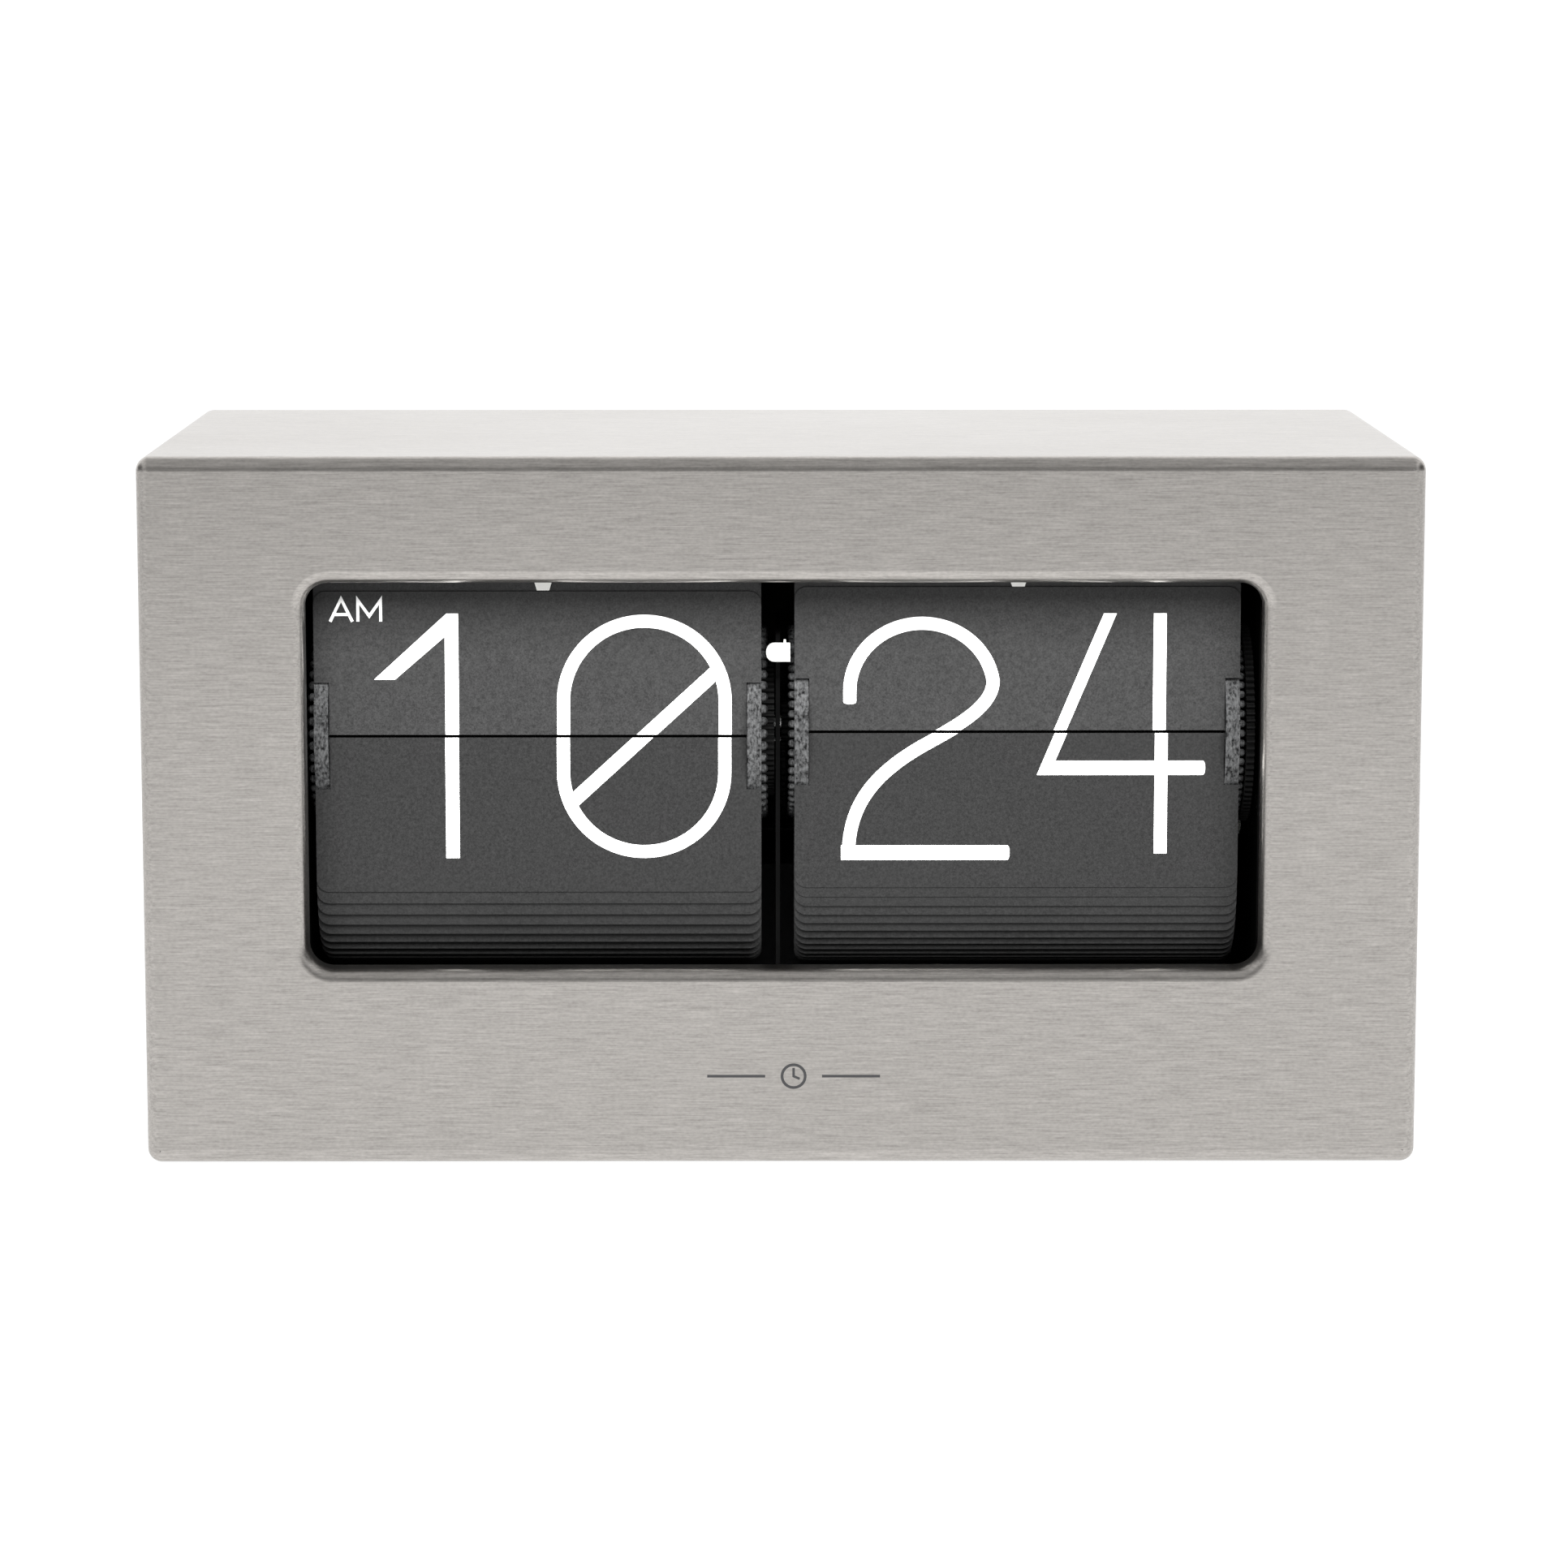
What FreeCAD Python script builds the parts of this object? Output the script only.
import FreeCAD, Part
import Sketcher
import math
import os
import re

# A boxed flip number clock. Millimetres. +Z is up, +X is to the right seen from the front, the dial
# looks along -Y, and the origin is on the resting plane, below the middle of the clock.

DIMENSIONS = {
    # case
    "case_width": 206, "case_height": 115, "case_depth": 100, "case_gauge": 1, "case_edge_radius": 2.3,
    "cavity_front_radius": 0.9,
    "foot_height": 1, "foot_radius": 5, "foot_inset_side": 15, "foot_inset_end": 14,
    # window in the front of the case, measured from the case's middle and underside
    "window_left": 76.5, "window_right": 77.4, "window_low": 32, "window_high": 94.7,
    "window_corner": 4, "lip_radius": 2, "lip_depth": 5,
    # drums and their axle, measured from the case's front and underside
    "axle_setback": 27.3, "axle_height": 68.85, "axle_radius": 1.5, "running_gap": 0.05,
    "pivot_radius": 15.3, "disc_radius": 17.2, "disc_thickness": 2.3, "groove_width": 1.6,
    "groove_depth": 1.2, "core_radius": 8, "core_bore": 6.5, "boss_length": 1.1,
    "hour_leaf_count": 48, "hour_boss_radius": 0.75, "minute_leaf_count": 60, "minute_boss_radius": 0.62,
    # leaves
    "hour_left": -75.85, "hour_right": -3.2, "minute_left": 2.2, "minute_right": 74.6,
    "hour_line": -0.35, "minute_line": 0.35, "leaf_thickness": 0.15, "leaf_reach": 25.7,
    "line_gap": 0.5, "notch_width": 2.4, "notch_reach": 8.8, "leaf_corner": 2, "ear_reach": 0.9,
    "ear_height": 0.9, "falling_reach": 23.7, "falling_setback": 15.55, "leaf_spacing": 0.2,
    # chassis
    "base_low": 2, "base_thickness": 2.5, "plate_thickness": 1.6, "centre_plate_thickness": 0.7,
    "left_plate_face": -77.4, "right_plate_face": 78.2, "centre_plate_middle": -0.5,
    # gear train
    "drive_module": 0.36, "drive_teeth": 90, "output_teeth": 18, "idler_teeth": 90, "setting_teeth": 50,
    "transfer_module": 0.4, "minute_pinion_teeth": 14, "transfer_teeth": 56,
    "transfer_pinion_teeth": 12, "hour_gear_teeth": 72, "movement_module": 0.3,
    "output_wheel_teeth": 60, "second_pinion_teeth": 12, "second_wheel_teeth": 60,
    "drive_gear_left": 75.75, "drive_gear_width": 1.35,
    # rear cover and battery compartment
    "cover_recess": 3, "cover_thickness": 2, "cover_gap": 0.2, "bay_left": -36,
    "bay_right": 33, "bay_low": 4.2, "bay_height": 35, "bay_wall": 1.5, "bay_front": 10.5,
    "thumbwheel_radius": 14.5, "thumbwheel_left": 84, "thumbwheel_width": 6,
}

doc = FreeCAD.newDocument("flip_number_clock")
sheet = doc.addObject("Spreadsheet::Sheet", "dims")
for row, (alias, value) in enumerate(DIMENSIONS.items(), start=1):
    sheet.set("A%d" % row, alias)
    sheet.set("B%d" % row, str(value))
    sheet.setAlias("B%d" % row, alias)
doc.recompute()
SIZE = {alias: float(sheet.get(alias)) for alias in DIMENSIONS}

# Places that several pieces share, as expressions on the sheet's cells
BACK = "(case_depth / 2)"
UNDERSIDE = "foot_height"
FLOOR = "(foot_height + case_gauge)"
ROOF = "(foot_height + case_height - case_gauge)"
AXLE_Y = "(axle_setback - case_depth / 2)"
AXLE_Z = "(foot_height + axle_height)"
COVER_BACK = "(case_depth / 2 - cover_recess)"
COVER_FRONT = "(case_depth / 2 - cover_recess - cover_thickness)"
BASE_TOP = "(base_low + base_thickness)"

# The same places as numbers, for the pieces whose outline is worked out by a formula
AXLE = (SIZE["axle_setback"] - SIZE["case_depth"] / 2, SIZE["foot_height"] + SIZE["axle_height"])
TRANSFER_ANGLE = -20.0
OUTPUT_ANGLE = -60.0
SECOND_ANGLE = -112.0
ROTOR_ANGLE = -100.0

nodes = []


def bound(text):
    """Prefix every sheet alias in an expression with the sheet's name."""
    def prefixed(match):
        word = match.group(0)
        return "dims." + word if word in SIZE else word
    return re.sub(r"[a-z_]+", prefixed, str(text))


def bind(thing, prop, text):
    thing.setExpression(prop, bound(text))


def keep(thing):
    """List an object as a sub-part that is written to its own file."""
    thing.Label = thing.Name
    nodes.append(thing)
    return thing


# ---- Part workbench helpers -------------------------------------------------------------------

def box(name, left, right, front, back, low, high):
    """A block given by its faces."""
    block = doc.addObject("Part::Box", name)
    bind(block, "Length", "(%s) - (%s)" % (right, left))
    bind(block, "Width", "(%s) - (%s)" % (back, front))
    bind(block, "Height", "(%s) - (%s)" % (high, low))
    bind(block, "Placement.Base.x", left)
    bind(block, "Placement.Base.y", front)
    bind(block, "Placement.Base.z", low)
    return block


TURN_TO = {
    "X": FreeCAD.Rotation(FreeCAD.Vector(0, 1, 0), 90),
    "Y": FreeCAD.Rotation(FreeCAD.Vector(1, 0, 0), -90),
    "Z": FreeCAD.Rotation(),
}


def rod(name, along, centre, radius, length):
    """A cylinder that starts at centre and runs length in the positive direction of an axis."""
    bar = doc.addObject("Part::Cylinder", name)
    bar.Placement = FreeCAD.Placement(FreeCAD.Vector(), TURN_TO[along])
    bind(bar, "Radius", radius)
    bind(bar, "Height", length)
    for letter, place in zip("xyz", centre):
        bind(bar, "Placement.Base." + letter, place)
    return bar


def joined(name, *shapes):
    whole = doc.addObject("Part::MultiFuse", name)
    whole.Shapes = list(shapes)
    whole.Refine = True
    return whole


def gathered(name, *shapes):
    """Several separate solids that share one node."""
    group = doc.addObject("Part::Compound", name)
    group.Links = list(shapes)
    return group


def cut(name, base, *tools):
    """Base less every tool."""
    tool = tools[0]
    if len(tools) > 1:
        tool = gathered(name + "_tools", *tools)
    rest = doc.addObject("Part::Cut", name)
    rest.Base = base
    rest.Tool = tool
    return rest


def tube(name, along, centre, outer, bore, length):
    return cut(name, rod(name + "_outside", along, centre, outer, length),
               rod(name + "_bore", along, centre, bore, length))


def feature(name, shape, place=None):
    """A piece whose shape is worked out below from the sheet's sizes."""
    piece = doc.addObject("Part::Feature", name)
    piece.Shape = shape
    if place is not None:
        piece.Placement = place
    return piece


# ---- PartDesign helpers -----------------------------------------------------------------------

def new_body(name):
    return doc.addObject("PartDesign::Body", name)


def origin_item(body, role):
    return [item for item in body.Origin.OriginFeatures if item.Role == role][0]


def new_sketch(body, name, role, offset):
    sketch = body.newObject("Sketcher::SketchObject", name)
    sketch.AttachmentSupport = [(origin_item(body, role), "")]
    sketch.MapMode = "FlatFace"
    bind(sketch, "AttachmentOffset.Base.z", offset)
    return sketch


def pin_point(sketch, line, place):
    """Hold a line's first point at a place given by two expressions."""
    for kind, text in zip(("DistanceX", "DistanceY"), place):
        index = sketch.addConstraint(Sketcher.Constraint(kind, -1, 1, line, 1, 1.0))
        bind(sketch, "Constraints[%d]" % index, text)


def polygon_sketch(body, name, role, points, offset="0"):
    sketch = new_sketch(body, name, role, offset)
    count = len(points)
    turn = 2 * math.pi / count
    corners = [FreeCAD.Vector(50 * math.cos(i * turn), 50 * math.sin(i * turn), 0) for i in range(count)]
    for i in range(count):
        sketch.addGeometry(Part.LineSegment(corners[i], corners[(i + 1) % count]), False)
    for i in range(count):
        sketch.addConstraint(Sketcher.Constraint("Coincident", i, 2, (i + 1) % count, 1))
    for i in range(count):
        pin_point(sketch, i, points[i])
    return sketch


def circle_sketch(body, name, role, circles, offset="0"):
    """Circles, each given by its centre's two expressions and its radius."""
    sketch = new_sketch(body, name, role, offset)
    for i, (across, up, radius) in enumerate(circles):
        sketch.addGeometry(Part.Circle(FreeCAD.Vector(i, i, 0), FreeCAD.Vector(0, 0, 1), 1.0), False)
        for kind, text in (("DistanceX", across), ("DistanceY", up)):
            index = sketch.addConstraint(Sketcher.Constraint(kind, -1, 1, i, 3, 1.0))
            bind(sketch, "Constraints[%d]" % index, text)
        index = sketch.addConstraint(Sketcher.Constraint("Radius", i, 1.0))
        bind(sketch, "Constraints[%d]" % index, radius)
    return sketch


def pad(body, name, sketch, length, backwards=False):
    step = body.newObject("PartDesign::Pad", name)
    step.Profile = sketch
    step.Reversed = backwards
    bind(step, "Length", length)
    doc.recompute()
    return step


def pocket(body, name, sketch, length, backwards=False):
    before = body.Shape.Volume
    step = body.newObject("PartDesign::Pocket", name)
    step.Profile = sketch
    step.Reversed = backwards
    bind(step, "Length", length)
    doc.recompute()
    if body.Shape.Volume >= before:
        raise ValueError("pocket %s removes nothing" % name)
    return step


def fillet(body, name, radius, wanted):
    """Round the edges of the body's last feature that pass the test."""
    base = body.Tip
    step = body.newObject("PartDesign::Fillet", name)
    edges = ["Edge%d" % (i + 1) for i, edge in enumerate(base.Shape.Edges) if wanted(edge)]
    step.Base = (base, edges)
    bind(step, "Radius", radius)
    doc.recompute()
    return step


def runs_along(edge, axis):
    """Whether a straight edge runs along X, Y or Z."""
    spans = (edge.BoundBox.XLength, edge.BoundBox.YLength, edge.BoundBox.ZLength)
    return all((spans[i] > 1e-6) == (i == axis) for i in range(3))


def at_y(edge, level):
    return abs(edge.BoundBox.YMin - level) < 1e-4 and abs(edge.BoundBox.YMax - level) < 1e-4


# ---- case -------------------------------------------------------------------------------------

def rectangle(left, right, low, high):
    return [(left, low), (right, low), (right, high), (left, high)]


def make_case_shell():
    """A folded and welded steel box, open at the back, with a drawn lip round its window."""
    body = new_body("case_shell")
    half_depth = SIZE["case_depth"] / 2
    gauge = SIZE["case_gauge"]
    outside = polygon_sketch(body, "case_outline", "XZ_Plane", rectangle(
        "0 - case_width / 2", "case_width / 2", UNDERSIDE, "foot_height + case_height"), "case_depth / 2")
    pad(body, "case_block", outside, "case_depth", True)
    fillet(body, "case_edges", "case_edge_radius", lambda edge: edge.BoundBox.YMin < half_depth - 0.1)
    inside = polygon_sketch(body, "cavity_outline", "XZ_Plane", rectangle(
        "case_gauge - case_width / 2", "case_width / 2 - case_gauge", FLOOR, ROOF),
        "case_depth / 2 - case_gauge")
    pocket(body, "cavity", inside, "case_depth")
    reach = SIZE["case_width"] / 2 - gauge
    fillet(body, "cavity_edges", "case_edge_radius - case_gauge",
           lambda edge: runs_along(edge, 1) and abs(abs(edge.BoundBox.XMin) - reach) < 1e-4
           and edge.BoundBox.YLength > gauge * 2)
    lip = polygon_sketch(body, "lip_outline", "XZ_Plane", rectangle(
        "0 - window_left - case_gauge", "window_right + case_gauge",
        "foot_height + window_low - case_gauge", "foot_height + window_high + case_gauge"),
        "case_depth / 2 - case_gauge")
    pad(body, "lip_block", lip, "lip_depth - case_gauge", True)
    window = polygon_sketch(body, "window_outline", "XZ_Plane", rectangle(
        "0 - window_left", "window_right", "foot_height + window_low", "foot_height + window_high"),
        "case_depth / 2 + 1")
    pocket(body, "window", window, "lip_depth + 2")
    lip_back = SIZE["lip_depth"] - half_depth
    fillet(body, "window_corners", "window_corner",
           lambda edge: runs_along(edge, 1) and abs(edge.BoundBox.YMax - lip_back) < 1e-4
           and abs(edge.BoundBox.YMin + half_depth) < 1e-4)
    fillet(body, "lip_corners", "window_corner + case_gauge",
           lambda edge: runs_along(edge, 1) and abs(edge.BoundBox.YMax - lip_back) < 1e-4
           and abs(edge.BoundBox.YMin + half_depth - gauge) < 1e-4
           and abs(edge.BoundBox.XMin) > SIZE["window_left"] + gauge / 2)
    limit = SIZE["window_right"] + 1
    fillet(body, "window_lip", "lip_radius",
           lambda edge: at_y(edge, -half_depth) and abs(edge.BoundBox.XMin) < limit
           and abs(edge.BoundBox.XMax) < limit)
    fillet(body, "cavity_front_edges", "cavity_front_radius",
           lambda edge: at_y(edge, gauge - half_depth)
           and max(abs(edge.BoundBox.XMin), abs(edge.BoundBox.XMax)) > limit + gauge)
    return keep(body)


def at_four_corners(name, make, across, along):
    """One solid at each corner of a rectangle about the middle of the clock."""
    pieces = []
    for i, (side, end) in enumerate(((-1, -1), (1, -1), (-1, 1), (1, 1))):
        x_place = "%d * (%s)" % (side, across)
        y_place = "%d * (%s)" % (end, along)
        pieces.append(make("%s_%d" % (name, i + 1), x_place, y_place))
    return keep(gathered(name, *pieces))


def make_foot(name, x_place, y_place):
    foot = doc.addObject("Part::Cone", name)
    bind(foot, "Radius1", "foot_radius - 0.4")
    bind(foot, "Radius2", "foot_radius")
    bind(foot, "Height", "foot_height")
    bind(foot, "Placement.Base.x", x_place)
    bind(foot, "Placement.Base.y", y_place)
    return foot


STUD_ACROSS = 86.0
STUD_FRONT_Y = -39.2
STUD_BACK_Y = 2.3


def stud_places():
    rows = (STUD_FRONT_Y, STUD_BACK_Y)
    return [(side * STUD_ACROSS, y_place) for y_place in rows for side in (-1, 1)]


def make_studs_and_nuts():
    """Weld studs on the case floor, and the nuts that hold the chassis down on them."""
    studs = []
    nuts = []
    for i, (x_place, y_place) in enumerate(stud_places()):
        place = (x_place, y_place)
        studs.append(rod("stud_%d" % (i + 1), "Z", place + (FLOOR,), "axle_radius", "8"))
        prism = doc.addObject("Part::Prism", "nut_blank_%d" % (i + 1))
        prism.Polygon = 6
        bind(prism, "Circumradius", "axle_radius * 2.1")
        bind(prism, "Height", "2.4")
        bind(prism, "Placement.Base.x", x_place)
        bind(prism, "Placement.Base.y", y_place)
        bind(prism, "Placement.Base.z", BASE_TOP)
        hole = rod("nut_hole_%d" % (i + 1), "Z", place + (BASE_TOP,), "axle_radius + running_gap", "2.4")
        nuts.append(cut("nut_%d" % (i + 1), prism, hole))
    keep(gathered("chassis_studs", *studs))
    keep(gathered("chassis_nuts", *nuts))


SCREW_HEAD_RADIUS = "2.8"
SCREW_HEAD_HEIGHT = "1.7"
SCREW_SHANK_RADIUS = "1.4"
SCREW_HOLE_RADIUS = "1.45"
COVER_SCREWS = [(side * 96.0, height) for height in (22.0, 95.0) for side in (-1, 1)]


def make_screw(name, along, head_face, length):
    """A pan head screw whose head stands on head_face; its shank runs in the negative direction."""
    letter = "XYZ".index(along)
    tail = list(head_face)
    tail[letter] = "(%s) - (%s)" % (head_face[letter], length)
    head = rod(name + "_head", along, head_face, SCREW_HEAD_RADIUS, SCREW_HEAD_HEIGHT)
    shank = rod(name + "_shank", along, tail, SCREW_SHANK_RADIUS, length)
    whole = joined(name + "_blank", head, shank)
    slots = []
    slot_floor = "(%s) + (%s) - 0.9" % (head_face[letter], SCREW_HEAD_HEIGHT)
    for i, halves in enumerate(((1.6, 0.3), (0.3, 1.6))):
        faces = []
        rest = list(halves)
        for axis in range(3):
            if axis == letter:
                faces.extend((slot_floor, slot_floor + " + 2"))
                continue
            half = rest.pop(0)
            faces.extend(("(%s) - %s" % (head_face[axis], half), "(%s) + %s" % (head_face[axis], half)))
        slots.append(box("%s_slot_%d" % (name, i + 1), *faces))
    return cut(name, whole, *slots)


def make_case_brackets():
    """Angle tabs spot welded inside the case's sides, which take the rear cover's screws."""
    tabs = []
    for i, (x_place, z_place) in enumerate(COVER_SCREWS):
        name = "bracket_%d" % (i + 1)
        side = 1 if x_place > 0 else -1
        wall = "case_width / 2 - case_gauge"
        spans = {"tab": ["%s - 12" % wall, wall], "foot": ["%s - 1" % wall, wall]}
        if side < 0:
            spans = {key: ["0 - (%s)" % value[1], "0 - (%s)" % value[0]] for key, value in spans.items()}
        low = "%s - 6" % z_place
        high = "%s + 6" % z_place
        tab = box(name + "_tab", *spans["tab"], COVER_FRONT + " - 1.6", COVER_FRONT, low, high)
        foot = box(name + "_foot", *spans["foot"], COVER_FRONT + " - 10", COVER_FRONT, low, high)
        angle = joined(name + "_angle", tab, foot)
        hole = rod(name + "_hole", "Y", (x_place, COVER_FRONT + " - 3", z_place), SCREW_HOLE_RADIUS, "5")
        tabs.append(cut(name, angle, hole))
    keep(gathered("case_brackets", *tabs))
    screws = []
    for i, (x_place, z_place) in enumerate(COVER_SCREWS):
        screws.append(make_screw("cover_screw_%d" % (i + 1), "Y", (x_place, COVER_BACK, z_place), "6"))
    keep(gathered("rear_cover_screws", *screws))


# ---- rear cover and battery compartment -------------------------------------------------------

HATCH = ("bay_left - 0.6", "bay_right + 0.6", "bay_low - 0.6", "bay_low + bay_height + 0.6")
SETTING_Y = "(%s + drive_module * (drive_teeth / 2 + idler_teeth + setting_teeth / 2))" % AXLE_Y


def make_rear_cover():
    """A moulded plate set into the open back, with the battery hatch and the thumbwheel's slot."""
    body = new_body("rear_cover_plate")
    outline = polygon_sketch(body, "cover_outline", "XZ_Plane", rectangle(
        "case_gauge + cover_gap - case_width / 2", "case_width / 2 - case_gauge - cover_gap",
        FLOOR + " + cover_gap", ROOF + " - cover_gap"), "cover_recess - case_depth / 2")
    pad(body, "cover_block", outline, "cover_thickness")
    fillet(body, "cover_corners", "case_edge_radius - case_gauge", lambda edge: runs_along(edge, 1))
    edge_y = SIZE["case_depth"] / 2 - SIZE["cover_recess"]
    rim = SIZE["case_width"] / 2 - 1.5
    fillet(body, "cover_rim", "0.5", lambda edge: at_y(edge, edge_y) and edge.BoundBox.XMax < rim + 10)
    hatch = box("hatch_hole", HATCH[0], HATCH[1], "30", BACK, HATCH[2], HATCH[3])
    slot = box("thumbwheel_slot", "thumbwheel_left - 0.7", "thumbwheel_left + thumbwheel_width + 0.7",
               "30", BACK, AXLE_Z + " - 13", AXLE_Z + " + 13")
    holes = [rod("cover_hole_%d" % (i + 1), "Y", (x, "30", z), "1.7", "30")
             for i, (x, z) in enumerate(COVER_SCREWS)]
    ribs = []
    for i, (low, high) in enumerate(((ROOF + " - cover_gap - 3", ROOF + " - cover_gap - 1.5"),
                                     ("bay_low + bay_height + 2.2", "bay_low + bay_height + 3.7"))):
        ribs.append(box("cover_rib_%d" % (i + 1), "-88", "88", COVER_FRONT + " - 5", COVER_FRONT,
                        low, high))
    surround = box("slot_surround", "thumbwheel_left - 2.7", "thumbwheel_left + thumbwheel_width + 2.7",
                   COVER_BACK, COVER_BACK + " + 0.6", AXLE_Z + " - 15", AXLE_Z + " + 15")
    whole = joined("rear_cover_blank", body, surround, *ribs)
    keep(cut("rear_cover", whole, hatch, slot, *holes))


def make_battery_parts():
    """Open box for one D cell lying along X, its two contacts, and the lid that closes it."""
    outer = box("bay_outside", "bay_left - bay_wall", "bay_right + bay_wall", "bay_front - bay_wall",
                COVER_FRONT, "bay_low - bay_wall", "bay_low + bay_height + bay_wall")
    inner = box("bay_inside", "bay_left", "bay_right", "bay_front", BACK, "bay_low", "bay_low + bay_height")
    positive_slot = box("positive_slot", "bay_right - 1", "bay_right + 3", "25.8", "30.2", "30.8", "32.2")
    negative_slot = rod("negative_slot", "X", ("bay_left - 3", "28", "31.5"), "0.8", "5")
    keep(cut("battery_box", outer, inner, positive_slot, negative_slot))

    plate = box("contact_plate", "bay_right - 0.6", "bay_right", "20", "36", "14", "33")
    nub = rod("contact_nub", "X", ("bay_right - 1.2", "28", "bay_low + bay_height / 2"), "4", "0.8")
    tab = box("contact_tab", "bay_right - 0.3", "bay_right + 4", "26", "30", "31", "32")
    keep(joined("battery_contact", plate, nub, tab))

    lid = box("lid_plate", "bay_left - 0.3", "bay_right + 0.3", COVER_FRONT + " + 0.2", COVER_BACK,
              "bay_low - 0.3", "bay_low + bay_height + 0.3")
    ridges = [box("lid_ridge_%d" % (i + 1), "-9", "9", COVER_BACK, COVER_BACK + " + 0.5",
                  "bay_low + bay_height - 4 - %g" % (i * 2.2), "bay_low + bay_height - 3 - %g" % (i * 2.2))
              for i in range(4)]
    notch = box("lid_finger_notch", "-7", "7", COVER_FRONT, BACK, "bay_low + bay_height - 1.2",
                "bay_low + bay_height + 1")
    keep(cut("battery_door", joined("lid_blank", lid, *ridges), notch))


def wire_shape(points, radius):
    """Round wire along straight runs joined by tangent arcs, and the radius of each arc."""
    nodes_on_route = [FreeCAD.Vector(*point) for point in points]
    edges = []
    bends = []
    start = nodes_on_route[0]
    for before, corner, after in zip(nodes_on_route, nodes_on_route[1:], nodes_on_route[2:]):
        towards = (corner - before)
        away = (after - corner)
        shorter = min(towards.Length, away.Length)
        turn = towards.getAngle(away)
        setback = 0.45 * shorter
        towards.normalize()
        away.normalize()
        first = corner - towards * setback
        last = corner + away * setback
        bend = setback / math.tan(turn / 2)
        bends.append(bend)
        inward = (away - towards).normalize()
        middle = corner + inward * (math.hypot(bend, setback) - bend)
        edges.append(Part.LineSegment(start, first).toShape())
        edges.append(Part.Arc(first, middle, last).toShape())
        start = last
    edges.append(Part.LineSegment(start, nodes_on_route[-1]).toShape())
    path = Part.Wire(edges)
    along = (nodes_on_route[1] - nodes_on_route[0]).normalize()
    section = Part.Wire(Part.Edge(Part.Circle(nodes_on_route[0], along, radius)))
    wire = path.makePipeShell([section], True, False)
    drift = wire.Volume / (math.pi * radius ** 2 * path.Length)
    if abs(drift - 1) > 0.02:
        raise ValueError("a wire's volume is off by a factor %.3f" % drift)
    return wire, bends


LEAD_RADIUS = 0.6
RED_LEAD = [(37, 28, 31.5), (43, 28, 31.5), (52, 24, 36), (64, 21, 40), (77, 19, 37), (86, 17, 30),
            (88, 12.5, 27), (88, 8.5, 26.5)]
BLACK_LEAD = [(-37.5, 28, 31.5), (-41.5, 27.8, 31.5), (-45.5, 26.5, 35.5), (-44.5, 24, 42), (-36, 22, 45.5),
              (-20, 20.5, 46), (0, 19, 45), (22, 20, 45.8), (45, 21, 44), (66, 18, 43), (80, 16, 38),
              (86.5, 13.5, 33.5), (88, 8.5, 32)]


def make_leads():
    for name, route in (("battery_lead_red", RED_LEAD), ("battery_lead_black", BLACK_LEAD)):
        lead, bends = wire_shape(route, LEAD_RADIUS)
        keep(feature(name, lead))
        print(name, "bend radii", " ".join("%.1f" % bend for bend in bends))


def make_battery_spring():
    """Conical wire coil at the cell's negative end."""
    turns = 4
    points_per_turn = 8
    pitch = 1.15
    wide = 7.0
    narrow = 4.6
    wire_radius = 0.45
    start_x = SIZE["bay_left"] + wire_radius + 0.05
    centre_y = 28.0
    centre_z = SIZE["bay_low"] + SIZE["bay_height"] / 2
    count = turns * points_per_turn
    points = []
    for index in range(count + 1):
        share = index / count
        angle = 2 * math.pi * index / points_per_turn
        reach = wide + (narrow - wide) * share
        points.append((start_x + pitch * turns * share, centre_y + reach * math.cos(angle),
                       centre_z + reach * math.sin(angle)))
    keep(feature("battery_spring", wire_shape(points, wire_radius)[0]))


# ---- chassis ----------------------------------------------------------------------------------

FLANGE_BACK = "-2"
FLANGE_FRONT = "-34"
PLATE_SCREWS = {"left": [(-84.0, -30.0), (-84.0, -6.0)], "centre": [(4.2, -28.0), (4.2, -8.0)],
                "right": [(85.0, -30.0), (85.0, -6.0)]}


def make_plate(name, outline, face, thickness, flange, flange_thickness, holes):
    """An upright plate with a foot flange: bent sheet, standing on the base."""
    body = new_body(name + "_web")
    sketch = polygon_sketch(body, name + "_outline", "YZ_Plane", outline, face)
    pad(body, name + "_pad", sketch, thickness)
    fillet(body, name + "_corners", "1.5", lambda edge: runs_along(edge, 0) and edge.BoundBox.ZMin > 60)
    foot = box(name + "_flange", flange[0], flange[1], FLANGE_FRONT, FLANGE_BACK, BASE_TOP,
               BASE_TOP + " + " + flange_thickness)
    bent = joined(name + "_bent", body, foot)
    tools = []
    for i, (y_place, z_place, radius) in enumerate(holes):
        start = "(%s) - 8" % face
        tools.append(rod("%s_bore_%d" % (name, i + 1), "X", (start, y_place, z_place), radius, "20"))
    key = name.split("_")[0]
    for i, (x_place, y_place) in enumerate(PLATE_SCREWS[key]):
        tools.append(rod("%s_screw_hole_%d" % (name, i + 1), "Z", (x_place, y_place, "2"),
                         SCREW_HOLE_RADIUS, "6"))
    return keep(cut(name, bent, *tools))


def arbor_place(centre_from, angle, distance):
    """Where an arbor lies: a (y, z) pair at a distance and direction from another arbor."""
    turn = math.radians(angle)
    return (centre_from[0] + distance * math.cos(turn), centre_from[1] + distance * math.sin(turn))



def mesh_distance(module, teeth, other_teeth):
    """Centre distance of two meshed gears, each named by its tooth count's alias."""
    return SIZE[module] * (SIZE[teeth] + SIZE[other_teeth]) / 2


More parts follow.
